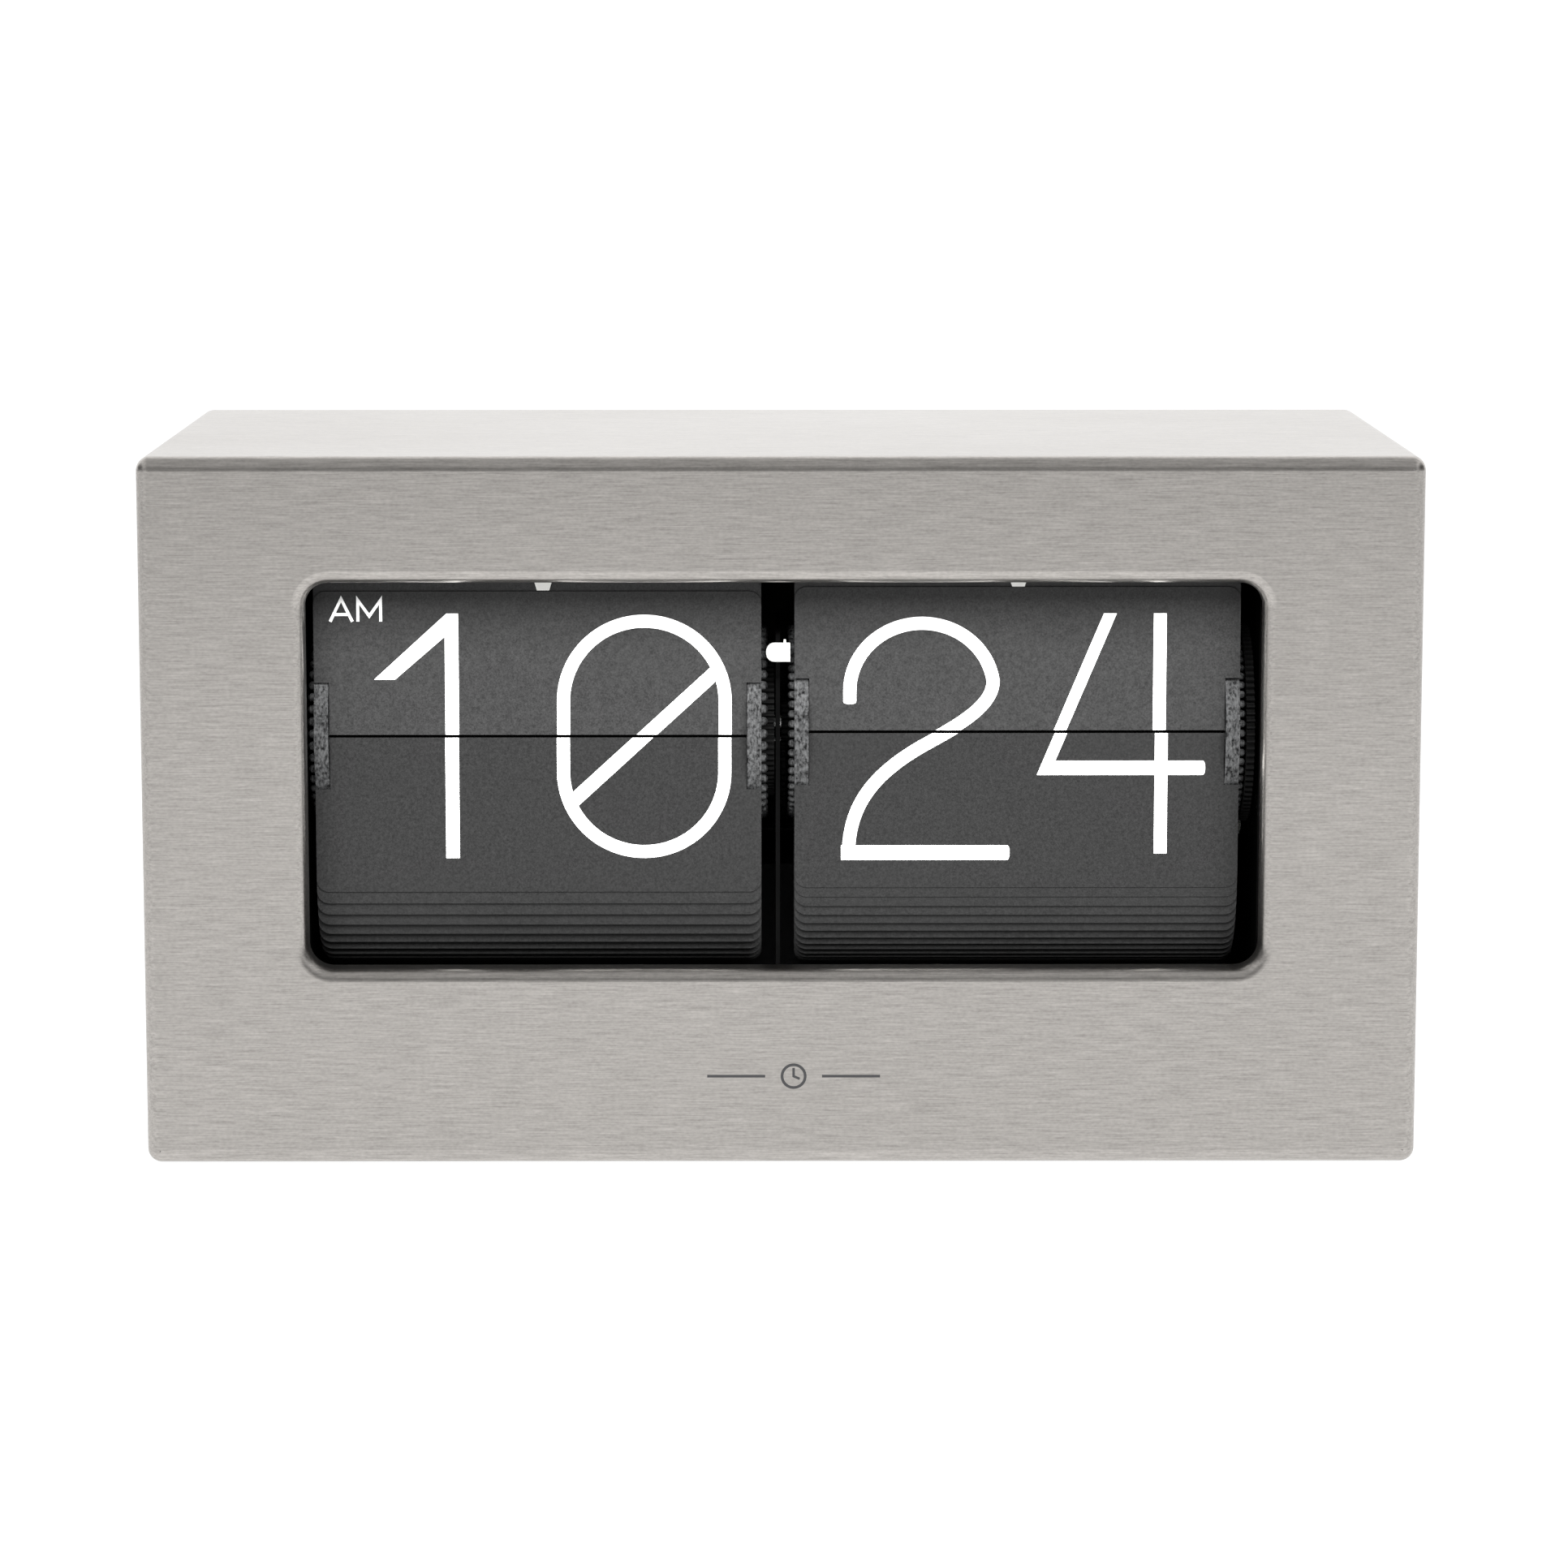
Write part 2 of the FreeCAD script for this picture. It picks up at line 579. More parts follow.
TRANSFER_DISTANCE = mesh_distance("transfer_module", "minute_pinion_teeth", "transfer_teeth")
HOUR_MODULE = 2 * TRANSFER_DISTANCE / (SIZE["transfer_pinion_teeth"] + SIZE["hour_gear_teeth"])
TRANSFER = arbor_place(AXLE, TRANSFER_ANGLE, TRANSFER_DISTANCE)
OUTPUT = arbor_place(AXLE, OUTPUT_ANGLE, mesh_distance("drive_module", "drive_teeth", "output_teeth"))
IDLER = arbor_place(AXLE, 0, mesh_distance("drive_module", "drive_teeth", "idler_teeth"))
SETTING = arbor_place(IDLER, 0, mesh_distance("drive_module", "idler_teeth", "setting_teeth"))
SECOND = arbor_place(OUTPUT, SECOND_ANGLE,
                     mesh_distance("movement_module", "output_wheel_teeth", "second_pinion_teeth"))
ROTOR_DISTANCE = 10.9
ROTOR = arbor_place(SECOND, ROTOR_ANGLE, ROTOR_DISTANCE)
ARBOR_RADIUS = 0.9
ROTOR_ARBOR_RADIUS = 0.4


def make_chassis():
    base = box("base_plate", "-92", "94", "-44", "7", "base_low", BASE_TOP)
    rails = [box("base_rail_%d" % (i + 1), "-92", "94", front, back, "base_low", BASE_TOP + " + 1.5")
             for i, (front, back) in enumerate((("-44", "-42.8"), ("5.8", "7")))]
    holes = [rod("base_stud_hole_%d" % (i + 1), "Z", place + ("0",), "1.7", "9")
             for i, place in enumerate(stud_places())]
    for key, places in PLATE_SCREWS.items():
        for i, place in enumerate(places):
            holes.append(rod("base_%s_hole_%d" % (key, i + 1), "Z", place + ("0",), SCREW_HOLE_RADIUS, "9"))
    keep(cut("chassis_base", joined("base_blank", base, *rails), *holes))

    axle_hole = (AXLE_Y, AXLE_Z, "axle_radius + 0.02")
    rail_hole = ("-40", "101", SCREW_HOLE_RADIUS)
    make_plate("left_end_plate", [("-34", BASE_TOP), ("-2", BASE_TOP), ("-2", "44"), ("-10", "88"),
                                  ("-30", "104.5"), ("-43", "104.5"), ("-43", "97"), ("-34", "90")],
               "left_plate_face - plate_thickness", "plate_thickness", ("-89", "left_plate_face"),
               "plate_thickness", [axle_hole, rail_hole])
    make_plate("right_end_plate", [("-34", BASE_TOP), ("-2", BASE_TOP), ("10", "20"), ("12", "50"),
                                   ("40", "58"), ("40", "82"), ("14", "84"), ("-8", "92"),
                                   ("-30", "104.5"), ("-43", "104.5"), ("-43", "97"), ("-34", "90")],
               "right_plate_face", "plate_thickness", ("right_plate_face", "90"), "plate_thickness",
               [axle_hole, rail_hole, OUTPUT + ("4",), IDLER + ("axle_radius",),
                SETTING + ("axle_radius + running_gap",)]
               + [(y, z, SCREW_HOLE_RADIUS) for y, z in MOVEMENT_SCREWS])
    middle = "centre_plate_middle - centre_plate_thickness / 2"
    make_plate("centre_plate", [("-34", BASE_TOP), ("-2", BASE_TOP), ("2", "62"), ("-4", "86"),
                                ("-36", "86"), ("-36", "81.6"), ("-33", "78")],
               middle, "centre_plate_thickness", (middle, "8"), "centre_plate_thickness",
               [axle_hole, TRANSFER + ("%g + running_gap" % ARBOR_RADIUS,)])

    screws = []
    for key, rise in (("left", "plate_thickness"), ("centre", "centre_plate_thickness"),
                      ("right", "plate_thickness")):
        for i, place in enumerate(PLATE_SCREWS[key]):
            screws.append(make_screw("foot_screw_%s_%d" % (key, i + 1), "Z",
                                     place + (BASE_TOP + " + " + rise,), "2.4 + " + rise))
    keep(gathered("chassis_screws", *screws))


MOVEMENT_SCREWS = [(-31.0, 57.5), (5.0, 57.5)]


def make_catches():
    """Rail across the top of the leaves, with a spring finger in front of each display."""
    rail = box("rail_bar", "left_plate_face", "right_plate_face", "-42", "-38", "99", "103")
    holes = [rod("rail_hole_%d" % (i + 1), "X", (start, "-40", "101"), SCREW_HOLE_RADIUS, "6")
             for i, start in enumerate(("left_plate_face", "right_plate_face - 6"))]
    keep(cut("catch_rail", rail, *holes))
    right_face = ("right_plate_face + plate_thickness", "-40", "101")
    screws = [make_screw("rail_screw_right", "X", right_face, "6")]
    left = make_screw("rail_screw_left_turned", "X", ("0", "0", "0"), "6")
    turned = feature("rail_screw_left", left_screw_shape(left))
    screws.append(turned)
    keep(gathered("rail_screws", *screws))
    front = -39.6
    for name, middle, tip in (("hour_leaf_catch", -38.5, 93.5), ("minute_leaf_catch", 38.43, 94.1)):
        body = new_body(name + "_finger")
        outline = [("%g" % (middle - 1.0), "%g" % tip), ("%g" % (middle + 1.0), "%g" % tip),
                   ("%g" % (middle + 2.2), "97.5"), ("%g" % (middle + 2.2), "99"),
                   ("%g" % (middle - 2.2), "99"), ("%g" % (middle - 2.2), "97.5")]
        sketch = polygon_sketch(body, name + "_outline", "XZ_Plane", outline, "%g" % -front)
        pad(body, name + "_pad", sketch, "1", True)
        block = box(name + "_block", middle - 4, middle + 4, "-42.8", "-38", "97.6", "99")
        face = box(name + "_face", middle - 4, middle + 4, "-42.8", "-42", "97.6", "103")
        keep(joined(name, body, block, face))


def left_screw_shape(screw):
    """The right hand rail screw turned end for end, standing on the left end plate."""
    doc.recompute()
    shape = screw.Shape.copy()
    shape.rotate(FreeCAD.Vector(), FreeCAD.Vector(0, 0, 1), 180)
    shape.translate(FreeCAD.Vector(SIZE["left_plate_face"] - SIZE["plate_thickness"], -40, 101))
    return shape


def make_centre_clip():
    """White nylon guide pushed on the front edge of the centre plate."""
    low = 81.65
    high = 84.7
    body = new_body("clip_head")
    head = rectangle("-2.4", "1.5", "%g" % low, "%g" % high)
    sketch = polygon_sketch(body, "clip_outline", "XZ_Plane", head, "38.4")
    pad(body, "clip_pad", sketch, "1.2", True)
    fillet(body, "clip_round", "1.35", lambda edge: runs_along(edge, 1) and edge.BoundBox.XMax < 0)
    fillet(body, "clip_edge", "0.35", lambda edge: at_y(edge, -38.4))
    stem = box("clip_stem", "-1.7", "0.7", "-37.2", "-31", low + 0.3, high - 0.9)
    hook = box("clip_hook", "0.45", "0.8", "-38", "-37.2", high - 0.2, high + 0.55)
    slot = box("clip_slot", "centre_plate_middle - centre_plate_thickness / 2",
               "centre_plate_middle + centre_plate_thickness / 2", "-36", "-30", low - 1, high + 2)
    keep(cut("centre_guide_clip", joined("clip_blank", body, stem, hook), slot))


# ---- drums ------------------------------------------------------------------------------------

DOME_ANGLES = (0, 30, 60)


def domed_boss(body, name, radius, face, side):
    """A round ended boss that stands out from a disc's face, turned about its own middle line."""
    points = [(face, "pivot_radius"), (face, "pivot_radius + " + radius)]
    for angle in DOME_ANGLES:
        forward = math.sin(math.radians(angle))
        across = math.cos(math.radians(angle))
        points.append(("%s + %d * (boss_length - %s * %.4f)" % (face, side, radius, 1 - forward),
                       "pivot_radius + %s * %.4f" % (radius, across)))
    points.append(("%s + %d * boss_length" % (face, side), "pivot_radius"))
    profile = polygon_sketch(body, name + "_profile", "XZ_Plane", points)
    boss = body.newObject("PartDesign::Revolution", name)
    boss.Profile = profile
    boss.ReferenceAxis = (profile, ["Edge%d" % len(points)])
    boss.Angle = 360
    doc.recompute()
    return boss


def make_disc(name, left, count, boss_radius, bosses_on_left):
    """Leaf carrier disc: a ring groove inside for the leaves' ears, and a boss outside for each leaf."""
    body = new_body(name)
    blank = circle_sketch(body, name + "_outline", "YZ_Plane", [("0", "0", "disc_radius")])
    pad(body, name + "_blank", blank, "disc_thickness")
    edge = circle_sketch(body, name + "_bore_circle", "YZ_Plane",
                         [("0", "0", "axle_radius + running_gap")], "-1")
    pocket(body, name + "_bore", edge, "disc_thickness + 2", True)
    inside = "disc_thickness" if bosses_on_left else "0"
    ring = circle_sketch(body, name + "_groove_circles", "YZ_Plane",
                         [("0", "0", "pivot_radius + groove_width / 2"),
                          ("0", "0", "pivot_radius - groove_width / 2")], inside)
    pocket(body, name + "_groove", ring, "groove_depth", not bosses_on_left)
    outside = "0" if bosses_on_left else "disc_thickness"
    boss = domed_boss(body, name + "_boss", boss_radius, outside, -1 if bosses_on_left else 1)
    pattern = body.newObject("PartDesign::PolarPattern", name + "_bosses")
    pattern.Originals = [boss]
    pattern.Axis = (origin_item(body, "X_Axis"), [""])
    pattern.Angle = 360
    bind(pattern, "Occurrences", count)
    body.Tip = pattern
    bind(body, "Placement.Base.x", left)
    bind(body, "Placement.Base.y", AXLE_Y)
    bind(body, "Placement.Base.z", AXLE_Z)
    return keep(body)


def make_drum(name, left, right, count, boss_radius):
    make_disc(name + "_disc_left", left, count, boss_radius, True)
    make_disc(name + "_disc_right", "%s - disc_thickness" % right, count, boss_radius, False)
    keep(tube(name + "_drum_core", "X", ("%s + disc_thickness" % left, AXLE_Y, AXLE_Z), "core_radius",
              "core_bore", "%s - %s - 2 * disc_thickness" % (right, left)))


def make_axle():
    bar = rod("axle_bar", "X", ("left_plate_face - plate_thickness - 1.6", AXLE_Y, AXLE_Z), "axle_radius",
              "right_plate_face - left_plate_face + 2 * plate_thickness + 3.2")
    grooves = []
    clips = []
    for i, start in enumerate(("left_plate_face - plate_thickness - 0.8",
                               "right_plate_face + plate_thickness + 0.1")):
        place = (start, AXLE_Y, AXLE_Z)
        neck = "axle_radius - 0.3"
        width = "0.7"
        grooves.append(tube("axle_groove_%d" % (i + 1), "X", place, "axle_radius + 1", neck, width))
        ring = tube("clip_ring_%d" % (i + 1), "X", place, "axle_radius * 2", neck, width)
        mouth = box("clip_mouth_%d" % (i + 1), start, "(%s) + %s" % (start, width), AXLE_Y + " - 0.9",
                    AXLE_Y + " + 0.9", AXLE_Z, AXLE_Z + " + 4")
        clips.append(cut("axle_clip_%d" % (i + 1), ring, mouth))
    keep(cut("main_axle", bar, *grooves))
    keep(gathered("axle_clips", *clips))


# ---- leaves -----------------------------------------------------------------------------------

def leaf_shape(left, right, cut_at_ears, root, notch_end, tip):
    """A leaf in its own plane: X across, +Z from its ears to its free edge, thickness about Y = 0.

    Heights are measured from the line of the ears. Rounded free corners, a step on each side for
    the drum's disc, and an ear each side that reaches into the disc's groove. A leaf cut at its
    ears starts at its root line, which then runs on to the ears' ends."""
    notch = SIZE["notch_width"]
    ear = SIZE["ear_reach"]
    ear_half = SIZE["ear_height"] / 2
    corner = SIZE["leaf_corner"]
    inner_left = left + notch
    inner_right = right - notch
    diagonal = corner * (1 - math.sqrt(0.5))
    y_front = -SIZE["leaf_thickness"] / 2

    def at(x_place, z_place):
        return FreeCAD.Vector(x_place, y_front, z_place)

    ear_low = root if cut_at_ears else -ear_half
    right_side = [at(inner_right + ear, ear_low), at(inner_right + ear, ear_half), at(inner_right, ear_half),
                  at(inner_right, notch_end), at(right, notch_end), at(right, tip - corner)]
    left_side = [at(left, tip - corner), at(left, notch_end), at(inner_left, notch_end),
                 at(inner_left, ear_half), at(inner_left - ear, ear_half), at(inner_left - ear, ear_low)]
    if not cut_at_ears:
        right_side = [at(inner_right, root), at(inner_right, -ear_half)] + right_side
        left_side = left_side + [at(inner_left, -ear_half), at(inner_left, root)]
    edges = [Part.LineSegment(a, b).toShape() for a, b in zip(right_side, right_side[1:])]
    right_corner = Part.Arc(right_side[-1], at(right - diagonal, tip - diagonal), at(right - corner, tip))
    left_corner = Part.Arc(at(left + corner, tip), at(left + diagonal, tip - diagonal), left_side[0])
    edges.append(right_corner.toShape())
    edges.append(Part.LineSegment(at(right - corner, tip), at(left + corner, tip)).toShape())
    edges.append(left_corner.toShape())
    edges.extend(Part.LineSegment(a, b).toShape() for a, b in zip(left_side, left_side[1:]))
    edges.append(Part.LineSegment(left_side[-1], right_side[0]).toShape())
    face = Part.Face(Part.Wire(edges))
    return face.extrude(FreeCAD.Vector(0, SIZE["leaf_thickness"], 0))


def leaf_pitch(count):
    """Height between neighbouring ear lines where they pass the front of the drum."""
    return 2 * SIZE["pivot_radius"] * math.sin(math.pi / count)


def placed_leaf(shape, y_place, z_place, lean):
    """Turn a leaf about its ears by lean degrees, top towards the back, and set it on the drum."""
    leaf = shape.copy()
    leaf.rotate(FreeCAD.Vector(), FreeCAD.Vector(1, 0, 0), -lean)
    leaf.translate(FreeCAD.Vector(0, AXLE[0] + y_place, AXLE[1] + z_place))
    return leaf


def make_leaves(display, count):
    """The leaves of one display: a fan above and behind, a hanging pack below, one about to fall."""
    left = SIZE[display + "_left"]
    right = SIZE[display + "_right"]
    line = SIZE[display + "_line"]
    radius = SIZE["pivot_radius"]
    half_pitch = leaf_pitch(count) / 2
    half_gap = SIZE["line_gap"] / 2
    step = 360.0 / count
    shape = leaf_shape(left, right, False, half_gap - half_pitch, SIZE["notch_reach"] - half_pitch,
                       SIZE["leaf_reach"] - half_pitch)
    upper = []
    start = math.degrees(math.asin((line + half_pitch) / radius))
    for index in range(count // 2 - 1):
        angle = math.radians(start + index * step)
        lean = max(0, index - 1) * step
        upper.append(placed_leaf(shape, -radius * math.cos(angle), radius * math.sin(angle), lean))
    lower = []
    start = math.degrees(math.asin((line - half_pitch) / radius))
    depth = radius + SIZE["leaf_spacing"]
    for index in range(count // 2):
        angle = math.radians(start - index * step)
        depth = min(radius * math.cos(angle), depth - SIZE["leaf_spacing"])
        lower.append(placed_leaf(shape, -depth, radius * math.sin(angle), 180))
    keep(feature(display + "_leaves_upper", Part.makeCompound(upper)))
    keep(feature(display + "_leaves_lower", Part.makeCompound(lower)))
    falling = leaf_shape(left, right, True, half_gap, SIZE["notch_reach"], SIZE["falling_reach"])
    keep(feature(display + "_leaf", placed_leaf(falling, -SIZE["falling_setback"], line, 0)))


# ---- gears ------------------------------------------------------------------------------------

def involute(radius, base_radius):
    if radius <= base_radius:
        return 0.0
    roll = math.sqrt((radius / base_radius) ** 2 - 1)
    return roll - math.atan(roll)


def gear_shape(teeth, module, tooth_angle, left, width, addendum=0.85, thinning=0.05):
    """Spur gear about the X axis. tooth_angle is the direction of one tooth, from +Y towards +Z."""
    pitch_radius = teeth * module / 2
    base_radius = pitch_radius * math.cos(math.radians(20))
    root = pitch_radius - 1.25 * module
    tip = pitch_radius + addendum * module
    radii = [root, max(root, base_radius) * 0.5 + root * 0.5, pitch_radius - 0.25 * module,
             pitch_radius + 0.25 * module, tip]
    half_tooth = math.pi / (2 * teeth) + involute(pitch_radius, base_radius) - thinning / (2 * pitch_radius)
    flank = [(radius, half_tooth - involute(radius, base_radius)) for radius in sorted(radii)]
    points = []
    for index in range(int(teeth)):
        middle = math.radians(tooth_angle) + 2 * math.pi * index / teeth
        for radius, half in flank:
            points.append((radius, middle - half))
        for radius, half in reversed(flank):
            points.append((radius, middle + half))
    corners = [FreeCAD.Vector(left, r * math.cos(a), r * math.sin(a)) for r, a in points]
    corners.append(corners[0])
    return Part.Face(Part.makePolygon(corners)).extrude(FreeCAD.Vector(width, 0, 0))


def cylinder_x(left, right, radius):
    return Part.makeCylinder(radius, right - left, FreeCAD.Vector(left, 0, 0), FreeCAD.Vector(1, 0, 0))


def lightened(shape, left, outer, inner, depth):
    """Sink a ring into one face of a wheel."""
    ring = cylinder_x(left, left + depth, outer).cut(cylinder_x(left - 1, left + depth + 1, inner))
    return shape.cut(ring)


def mate_angle(teeth, tooth_angle, direction, other_teeth):
    """Tooth angle of a gear in mesh with one whose tooth angle and direction to the mate are given."""
    pitch = 360.0 / teeth
    other_pitch = 360.0 / other_teeth
    share = ((direction - tooth_angle) / pitch) % 1.0
    return direction + 180 - (0.5 - share) * other_pitch


def on_arbor(name, shape, centre):
    return keep(feature(name, shape, FreeCAD.Placement(FreeCAD.Vector(0, *centre), FreeCAD.Rotation())))


def make_centre_train():
    """Minute drum to hour drum, one turn in twenty-four, through a wheel in the middle gap."""
    bore = SIZE["axle_radius"] + SIZE["running_gap"]
    module = SIZE["transfer_module"]
    hour_face = SIZE["hour_right"]
    minute_face = SIZE["minute_left"]
    pinion_angle = TRANSFER_ANGLE
    wheel_left = 0.1
    wheel_width = 0.7
    pinion = gear_shape(SIZE["minute_pinion_teeth"], module, pinion_angle, wheel_left,
                        minute_face - wheel_left)
    on_arbor("minute_pinion", pinion.cut(cylinder_x(-5, 5, bore)), AXLE)

    wheel_angle = mate_angle(SIZE["minute_pinion_teeth"], pinion_angle, TRANSFER_ANGLE,
                             SIZE["transfer_teeth"])
    wheel = gear_shape(SIZE["transfer_teeth"], module, wheel_angle, wheel_left, wheel_width, 0.7)
    wheel = lightened(wheel, wheel_left + 0.4, 9.2, 3.5, 0.6)
    on_arbor("transfer_wheel", wheel.cut(cylinder_x(-5, 5, ARBOR_RADIUS)), TRANSFER)
    spindle = cylinder_x(-1.9, wheel_left + wheel_width, ARBOR_RADIUS)
    on_arbor("transfer_arbor", spindle, TRANSFER)
    small = gear_shape(SIZE["transfer_pinion_teeth"], HOUR_MODULE, TRANSFER_ANGLE + 180, -1.9, 0.8)
    on_arbor("transfer_pinion", small.cut(cylinder_x(-5, 5, ARBOR_RADIUS)), TRANSFER)

    gear_angle = mate_angle(SIZE["transfer_pinion_teeth"], TRANSFER_ANGLE + 180, TRANSFER_ANGLE + 180,
                            SIZE["hour_gear_teeth"])
    gear = gear_shape(SIZE["hour_gear_teeth"], HOUR_MODULE, gear_angle, hour_face, -1.1 - hour_face, 0.7)
    on_arbor("hour_gear", gear.cut(cylinder_x(-5, 5, bore)), AXLE)


def make_drive_train():
    """Movement to minute drum, and thumbwheel to minute drum, at the right hand end."""
    module = SIZE["drive_module"]
    left = SIZE["drive_gear_left"]
    width = SIZE["drive_gear_width"]
    bore = SIZE["axle_radius"] + SIZE["running_gap"]
    drive_teeth = SIZE["drive_teeth"]
    idler_teeth = SIZE["idler_teeth"]
    drive = gear_shape(drive_teeth, module, 0, left, width)
    drive = lightened(drive, left + width - 0.5, 13.4, 5, 0.6)
    hub = cylinder_x(SIZE["minute_right"], left, 6)
    on_arbor("minute_drive_gear", drive.fuse(hub).cut(cylinder_x(70, 80, bore)), AXLE)

    idler_angle = mate_angle(drive_teeth, 0, 0, idler_teeth)
    idler = gear_shape(idler_teeth, module, idler_angle, left, width)
    idler = lightened(idler, left + width - 0.5, 14, 5, 0.6)
    on_arbor("setting_idler", idler.cut(cylinder_x(70, 80, bore)), IDLER)
    plate_back = SIZE["right_plate_face"] + SIZE["plate_thickness"]
    post = cylinder_x(74.9, plate_back, SIZE["axle_radius"]).fuse(cylinder_x(74.9, 75.6, 3))
    post = post.fuse(cylinder_x(77.4, SIZE["right_plate_face"], 3))
    on_arbor("idler_post", post, IDLER)

    gear_angle = mate_angle(idler_teeth, idler_angle, 0, SIZE["setting_teeth"])
    gear = gear_shape(SIZE["setting_teeth"], module, gear_angle, left, width)
    on_arbor("setting_gear", gear.cut(cylinder_x(70, 80, SIZE["axle_radius"])), SETTING)
    on_arbor("setting_arbor", cylinder_x(75.2, 92, SIZE["axle_radius"]), SETTING)
    on_arbor("setting_thumbwheel", thumbwheel_shape(), SETTING)


def thumbwheel_shape():
    """Moulded wheel with a finely ribbed rim, pressed on its arbor."""
    left = SIZE["thumbwheel_left"]
    right = left + SIZE["thumbwheel_width"]
    radius = SIZE["thumbwheel_radius"]
    rib_count = 60
    corners = []
    for index in range(rib_count):
        for part, depth in ((0.0, 0.5), (0.25, 0), (0.5, 0), (0.75, 0.5)):
            angle = 2 * math.pi * (index + part) / rib_count
            reach = radius - depth
            corners.append(FreeCAD.Vector(left, reach * math.cos(angle), reach * math.sin(angle)))
    corners.append(corners[0])
    wheel = Part.Face(Part.makePolygon(corners)).extrude(FreeCAD.Vector(right - left, 0, 0))
    dish = 1.8
    for face in (left, right - dish):
        wheel = lightened(wheel, face, radius - 2.5, 4, dish)
    collar = cylinder_x(SIZE["right_plate_face"] + SIZE["plate_thickness"] + 0.4, left, 3)
    return wheel.fuse(collar).cut(cylinder_x(70, 100, SIZE["axle_radius"]))


# ---- movement ---------------------------------------------------------------------------------

HOUSING = {"left": 79.8, "right": 94.0, "front": -35.0, "back": 9.0, "low": 19.0, "high": 64.5, "wall": 1.2}


def x_rod(left, right, radius, centre):
    """A cylinder along X at a (y, z) centre."""
    return Part.makeCylinder(radius, right - left, FreeCAD.Vector(left, *centre), FreeCAD.Vector(1, 0, 0))


def make_movement():
    """Quartz movement: housing and cover, wheels, stepper motor and circuit board."""
    left = HOUSING["left"]
    right = HOUSING["right"]
    wall = HOUSING["wall"]
    sides = (HOUSING["front"], HOUSING["back"], HOUSING["low"], HOUSING["high"])
    shell = box("housing_block", left, right, *sides)
    hollow = box("housing_hollow", left + wall, right + 1, sides[0] + wall, sides[1] - wall,
                 sides[2] + wall, sides[3] - wall)
    walls = cut("housing_walls", shell, hollow)
    bosses = []
    holes = []
    for i, place in enumerate(MOVEMENT_SCREWS):
        bosses.append(rod("housing_boss_%d" % (i + 1), "X", (left,) + place, "3", "6"))
        holes.append(rod("housing_hole_%d" % (i + 1), "X", (left - 1,) + place, SCREW_HOLE_RADIUS, "9"))
    bearing_radius = "%g + running_gap" % ARBOR_RADIUS
    rotor_bearing_radius = "%g + running_gap" % ROTOR_ARBOR_RADIUS
    holes.append(rod("output_bearing", "X", (left - 1,) + OUTPUT, bearing_radius, "4"))
    for i, lead in enumerate((RED_LEAD, BLACK_LEAD)):
        mouth = (lead[-1][0], 5, lead[-1][2])
        holes.append(rod("lead_hole_%d" % (i + 1), "Y", mouth, LEAD_RADIUS + 0.4, "6"))
    keep(cut("movement_housing", joined("housing_blank", walls, *bosses), *holes))
    screws = [make_screw("movement_screw_%d" % (i + 1), "X", (left + 6, y, z), "6 + plate_thickness")
              for i, (y, z) in enumerate(MOVEMENT_SCREWS)]
    keep(gathered("movement_screws", *screws))

    lid = box("movement_lid", right, right + wall, *sides)
    bearings = [rod("lid_bearing_output", "X", (right - 1,) + OUTPUT, bearing_radius, "4"),
                rod("lid_bearing_second", "X", (right - 1,) + SECOND, bearing_radius, "4"),
                rod("lid_bearing_rotor", "X", (right - 1,) + ROTOR, rotor_bearing_radius, "4")]
    keep(cut("movement_cover", lid, *bearings))

    direction = OUTPUT_ANGLE
    pinion_angle = mate_angle(SIZE["drive_teeth"], 0, direction, SIZE["output_teeth"])
    pinion = gear_shape(SIZE["output_teeth"], SIZE["drive_module"], pinion_angle, SIZE["drive_gear_left"],
                        SIZE["drive_gear_width"])
    wheel = gear_shape(SIZE["output_wheel_teeth"], SIZE["movement_module"], SECOND_ANGLE, 83, 0.9, 0.7)
    arbor = cylinder_x(SIZE["drive_gear_left"], 95, ARBOR_RADIUS)
    on_arbor("output_wheel", arbor.fuse([pinion, wheel]), OUTPUT)

    small_angle = mate_angle(SIZE["output_wheel_teeth"], SECOND_ANGLE, SECOND_ANGLE,
                             SIZE["second_pinion_teeth"])
    small = gear_shape(SIZE["second_pinion_teeth"], SIZE["movement_module"], small_angle, 82.6, 1.8)
    large = gear_shape(SIZE["second_wheel_teeth"], SIZE["movement_module"], 0, 86, 0.9, 0.7)
    arbor = cylinder_x(82, 95, ARBOR_RADIUS)
    on_arbor("second_wheel", arbor.fuse([small, large]), SECOND)

    arbor = cylinder_x(82, 95, ROTOR_ARBOR_RADIUS)
    hub = cylinder_x(85.6, 88, 1)
    on_arbor("rotor", cylinder_x(83.4, 85.2, 3).fuse([arbor, hub]), ROTOR)
    make_motor()
    make_board()


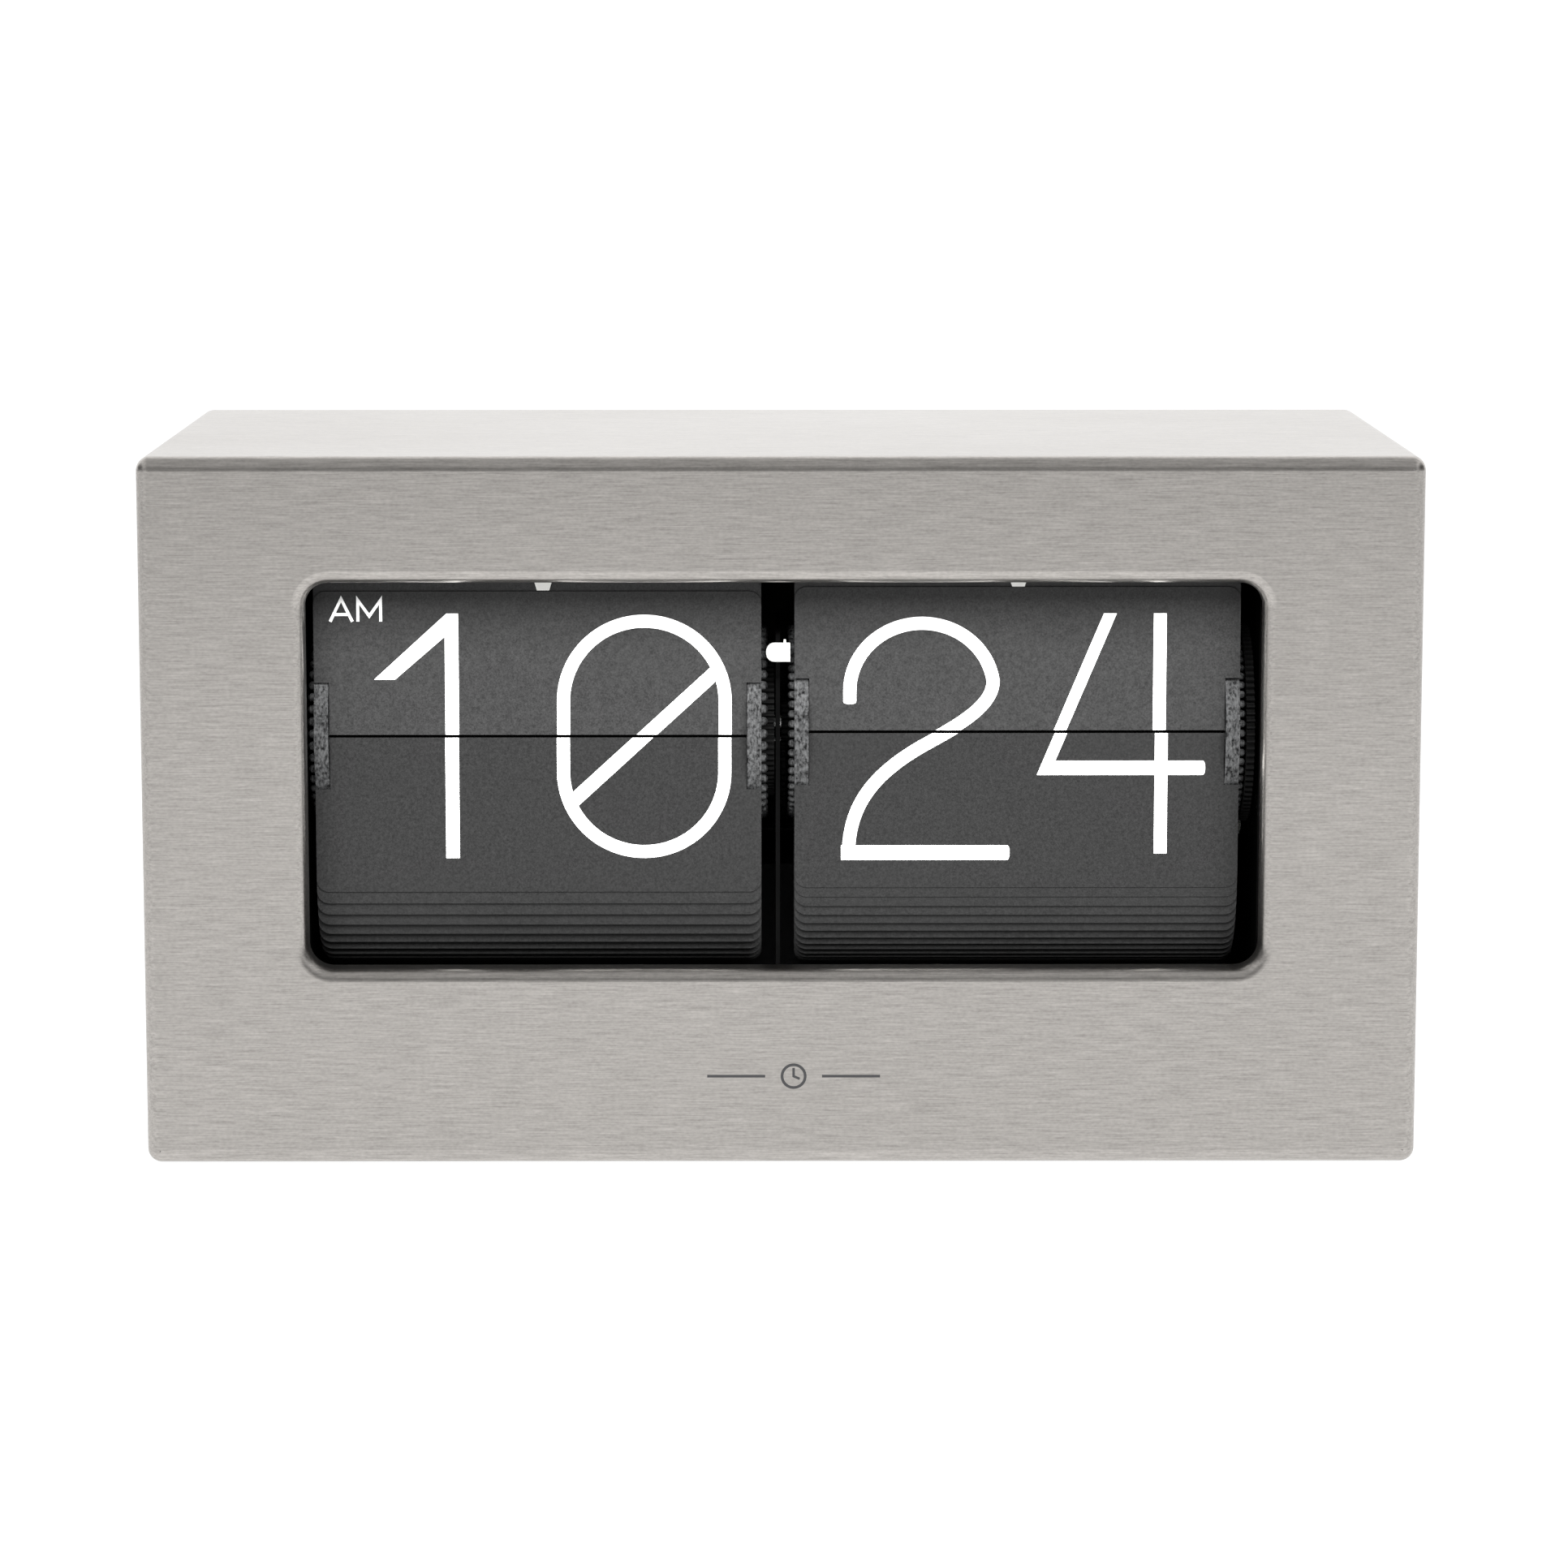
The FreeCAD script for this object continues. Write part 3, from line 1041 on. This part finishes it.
def make_motor():
    """Stator plate round the rotor, closed by the core of the coil below it."""
    rotor_y, rotor_z = ROTOR
    coil_z = rotor_z - 7.9
    plate = Part.makeBox(0.9, 22, 9.5, FreeCAD.Vector(84, rotor_y - 11, rotor_z - 4.75))
    legs = [Part.makeBox(0.9, 3, 10, FreeCAD.Vector(84, rotor_y + start, coil_z - 1.5))
            for start in (-11, 8)]
    stator = plate.fuse(legs).cut(x_rod(80, 90, 3.5, ROTOR)).cut(x_rod(80, 90, 1.6, SECOND))
    slots = [Part.makeBox(3, 0.5, 1.3, FreeCAD.Vector(83, rotor_y - 0.25, rotor_z + start))
             for start in (3, -4.3)]
    for slot in slots:
        stator = stator.cut(slot)
    keep(feature("stator", stator.removeSplitter()))
    coil_start = FreeCAD.Vector(85.9, rotor_y - 7, coil_z)
    along = FreeCAD.Vector(0, 1, 0)
    core = Part.makeBox(0.9, 22, 3, FreeCAD.Vector(84.9, rotor_y - 11, coil_z - 1.5))
    winding = Part.makeCylinder(3.3, 14, coil_start, along)
    flanges = [Part.makeCylinder(3.9, 0.8, coil_start + along * shift, along) for shift in (-0.8, 14)]
    trim = Part.makeBox(3, 24, 12, FreeCAD.Vector(82, rotor_y - 12, coil_z - 6))
    spool = winding.fuse(flanges).cut(core).cut(trim)
    keep(feature("motor_coil", spool))
    keep(feature("coil_core", core))


def make_board():
    """Circuit board with the quartz crystal's can and the sealed chip on it."""
    board = Part.makeBox(1, 12, 18, FreeCAD.Vector(89, -6, 22))
    keep(feature("circuit_board", board))
    can = Part.makeCylinder(1, 6, FreeCAD.Vector(91, -4, 28), FreeCAD.Vector(0, 1, 0))
    keep(feature("quartz_crystal", can))
    dome = Part.makeSphere(4, FreeCAD.Vector(87, 0, 35))
    above_board = Part.makeBox(2, 10, 10, FreeCAD.Vector(90, -5, 30))
    keep(feature("control_chip", dome.common(above_board)))


# ---- everything -------------------------------------------------------------------------------

make_case_shell()
FOOT_ACROSS = "case_width / 2 - foot_inset_side"
FOOT_ALONG = "case_depth / 2 - foot_inset_end"
at_four_corners("rubber_feet", make_foot, FOOT_ACROSS, FOOT_ALONG)
make_studs_and_nuts()
make_case_brackets()
make_rear_cover()
make_battery_parts()
make_battery_spring()
make_leads()
make_chassis()
make_catches()
make_centre_clip()
make_drum("hour", "hour_left", "hour_right", "hour_leaf_count", "hour_boss_radius")
make_drum("minute", "minute_left", "minute_right", "minute_leaf_count", "minute_boss_radius")
make_axle()
make_leaves("hour", int(SIZE["hour_leaf_count"]))
make_leaves("minute", int(SIZE["minute_leaf_count"]))
make_centre_train()
make_drive_train()
make_movement()
doc.recompute()

for item in doc.Objects:
    if "Invalid" in item.State or "Error" in item.State:
        raise ValueError("%s failed: %s" % (item.Label, item.State))
for item in nodes:
    if item.Shape.isNull() or not item.Shape.isValid():
        raise ValueError("%s has no valid shape" % item.Label)

os.makedirs("parts", exist_ok=True)
for item in nodes:
    item.Shape.exportStep("parts/%s.step" % item.Label)
    extent = item.Shape.BoundBox
    print("%-22s %2d solid(s) %9.1f mm3  x %.2f..%.2f y %.2f..%.2f z %.2f..%.2f" % (
        item.Label, len(item.Shape.Solids), item.Shape.Volume, extent.XMin, extent.XMax, extent.YMin,
        extent.YMax, extent.ZMin, extent.ZMax))
print(len(nodes), "sub-parts written")
